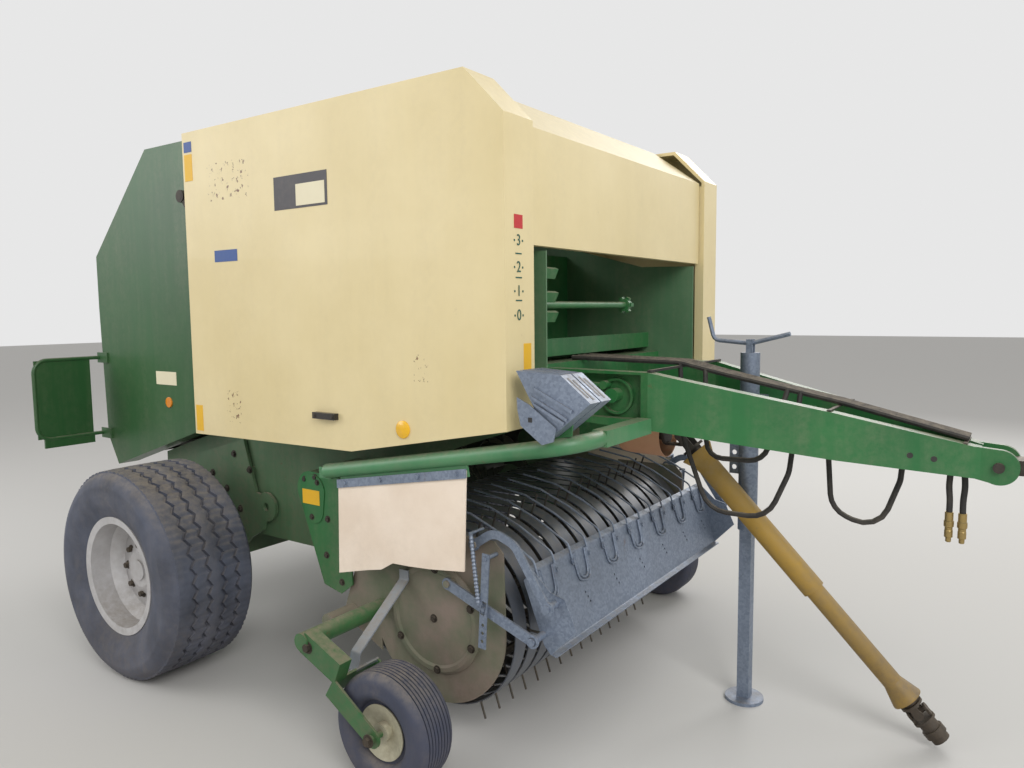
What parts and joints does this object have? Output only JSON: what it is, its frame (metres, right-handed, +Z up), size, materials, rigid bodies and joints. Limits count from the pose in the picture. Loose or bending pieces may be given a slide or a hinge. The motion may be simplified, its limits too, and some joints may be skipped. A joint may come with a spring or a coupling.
{
  "type": "round baler",
  "caption": "Towed round baler with a fixed roller chamber, opening tailgate, tined pickup with wind guard and gauge wheels, on two main wheels and a jack.",
  "frame": {"origin": "on the floor under the middle of the machine", "axes": "+X forward to the hitch, +Y to the left, +Z up"},
  "size_m": [4.017, 2.267, 2.203],
  "materials": {
    "green_paint": "semi-gloss green paint with dust",
    "cream_paint": "satin cream paint",
    "roller_steel": "worn dark green paint over steel",
    "eye_steel": "forged steel, worn",
    "sleeve_plastic": "faded moulded plastic",
    "galvanised": "galvanised sheet",
    "belting": "pale rubber belting",
    "hose_rubber": "black rubber hose",
    "lamp_red": "red lamp lens",
    "tyre": "dusty black tyre rubber",
    "rim_silver": "dusty silver paint",
    "band_steel": "dark blue-grey worn bands",
    "tine_steel": "sprung steel",
    "brass": "yellow-passivated steel",
    "joint_steel": "forged steel with grease",
    "cylinder_black": "black paint",
    "chromed": "hard chrome",
    "guard_yellow": "dusty yellow plastic"
  },
  "bodies": {
    "chassis": {"chamber_side_plates": "green_paint", "chamber_cross_members": "green_paint", "front_press_rollers": "roller_steel", "axle_beam": "green_paint", "intake_side_boxes": "green_paint", "drawbar": "green_paint", "towing_eye": "eye_steel", "gearbox": "green_paint", "pto_guard_sleeve": "sleeve_plastic", "wrap_unit": "green_paint", "guard_bows": "green_paint", "chock_holder": "green_paint", "wheel_chocks": "galvanised", "side_flaps": "belting", "flap_clamps": "galvanised", "jack_sleeve": "galvanised", "hose_bundle": "hose_rubber", "free_hose_rear": "hose_rubber", "free_hose_front": "hose_rubber", "coupling_rear": "brass", "coupling_front": "brass", "pto_joint": "joint_steel"},
    "feed_rotor": {"feed_rotor": "roller_steel"},
    "jack_leg": {"jack_leg": "galvanised"},
    "tailgate": {"tailgate_sides": "green_paint", "tailgate_rollers": "roller_steel", "tailgate_frame": "green_paint", "light_carriers": "green_paint", "rear_lamps": "lamp_red"},
    "cover_right": {"side_cover_right": "cream_paint"},
    "cover_left": {"side_cover_left": "cream_paint"},
    "hood": {"front_hood": "cream_paint"},
    "wheel_right": {"tyre_right": "tyre", "rim_right": "rim_silver"},
    "wheel_left": {"tyre_left": "tyre", "rim_left": "rim_silver"},
    "pickup": {"pickup_side_plates": "green_paint", "stripper_bands": "band_steel", "gauge_arms": "green_paint", "guard_stays": "galvanised"},
    "reel": {"tine_reel": "tine_steel"},
    "gauge_wheel_right": {"gauge_tyre_right": "tyre", "gauge_rim_right": "cream_paint"},
    "gauge_wheel_left": {"gauge_tyre_left": "tyre", "gauge_rim_left": "cream_paint"},
    "wind_guard": {"wind_guard": "galvanised", "guard_rods": "galvanised"},
    "guard_arms": {"guard_arms": "galvanised"},
    "lift_barrels": {"lift_barrels": "cylinder_black"},
    "lift_rods": {"lift_rods": "chromed"},
    "guard_links": {"guard_links": "galvanised"},
    "pto_rear": {"pto_rear_half": "guard_yellow", "pto_rear_yoke": "joint_steel"},
    "pto_front": {"pto_front_half": "guard_yellow", "pto_front_yoke": "joint_steel"}
  },
  "joints": [
    {"name": "tailgate_lift", "type": "hinge", "parent": "chassis", "child": "tailgate", "pos_m": [-1.0325, 0, 2.15], "axis": [0, 1, 0], "range_deg": [0, 62]},
    {"name": "cover_right_lift", "type": "hinge", "parent": "chassis", "child": "cover_right", "pos_m": [-0.6325, -0.69, 2.174], "axis": [-1, 0, 0], "range_deg": [0, 70]},
    {"name": "cover_left_lift", "type": "hinge", "parent": "chassis", "child": "cover_left", "pos_m": [-0.6325, 0.69, 2.174], "axis": [1, 0, 0], "range_deg": [0, 70]},
    {"name": "hood_lift", "type": "hinge", "parent": "chassis", "child": "hood", "pos_m": [-0.1675, 0, 2.15], "axis": [0, -1, 0], "range_deg": [0, 50]},
    {"name": "wheel_right_spin", "type": "hinge", "parent": "chassis", "child": "wheel_right", "pos_m": [-1.1225, -0.941, 0.427], "axis": [0, 1, 0], "continuous": true},
    {"name": "wheel_left_spin", "type": "hinge", "parent": "chassis", "child": "wheel_left", "pos_m": [-1.1225, 0.941, 0.427], "axis": [0, 1, 0], "continuous": true},
    {"name": "feed_rotor_spin", "type": "hinge", "parent": "chassis", "child": "feed_rotor", "pos_m": [-0.3675, 0, 0.76], "axis": [0, 1, 0], "continuous": true},
    {"name": "pickup_lift", "type": "hinge", "parent": "chassis", "child": "pickup", "pos_m": [-0.3675, 0, 0.76], "axis": [0, -1, 0], "range_deg": [0, 11]},
    {"name": "reel_spin", "type": "hinge", "parent": "pickup", "child": "reel", "pos_m": [0.2425, 0, 0.425], "axis": [0, 1, 0], "continuous": true},
    {"name": "gauge_right_spin", "type": "hinge", "parent": "pickup", "child": "gauge_wheel_right", "pos_m": [0.2825, -1, 0.188], "axis": [0, 1, 0], "continuous": true},
    {"name": "gauge_left_spin", "type": "hinge", "parent": "pickup", "child": "gauge_wheel_left", "pos_m": [0.2825, 1, 0.188], "axis": [0, 1, 0], "continuous": true},
    {"name": "guard_arm_lift", "type": "hinge", "parent": "pickup", "child": "guard_arms", "pos_m": [0.4195, 0, 0.724], "axis": [0, -1, 0], "range_deg": [0, 6]},
    {"name": "wind_guard_tilt", "type": "hinge", "parent": "guard_arms", "child": "wind_guard", "pos_m": [0.6955, 0, 0.57], "axis": [0, -1, 0], "range_deg": [-8.72, 0]},
    {"name": "guard_link_swing", "type": "hinge", "parent": "pickup", "child": "guard_links", "pos_m": [0.3175, 0, 0.579], "axis": [0, -1, 0], "range_deg": [0, 5.4]},
    {"name": "lift_barrel_swing", "type": "hinge", "parent": "chassis", "child": "lift_barrels", "pos_m": [-0.5225, 0, 1.2], "axis": [0, -1, 0], "range_deg": [0, 0.3]},
    {"name": "lift_rod_slide", "type": "slide", "parent": "lift_barrels", "child": "lift_rods", "axis": [-0.6067, 0, 0.795], "range_m": [0, 0.2085]},
    {"name": "jack_slide", "type": "slide", "parent": "chassis", "child": "jack_leg", "axis": [0, 0, 1], "range_m": [0, 0.35]},
    {"name": "pto_lift", "type": "hinge", "parent": "chassis", "child": "pto_rear", "pos_m": [0.8075, 0, 1.01], "axis": [0.1768, -0.9843, 0], "range_deg": [0, 26]},
    {"name": "pto_telescope", "type": "slide", "parent": "pto_rear", "child": "pto_front", "axis": [0.657, 0.118, -0.7446], "range_m": [-0.25, 0]}
  ],
  "couplings": [
    {"joint": "guard_link_swing", "follows": "guard_arm_lift", "ratio": 0.9},
    {"joint": "wind_guard_tilt", "follows": "guard_arm_lift", "ratio": -1.4527},
    {"joint": "lift_rod_slide", "follows": "tailgate_lift", "m_per_rad": 0.19268},
    {"joint": "lift_barrel_swing", "follows": "tailgate_lift", "ratio": 0.0048}
  ]
}
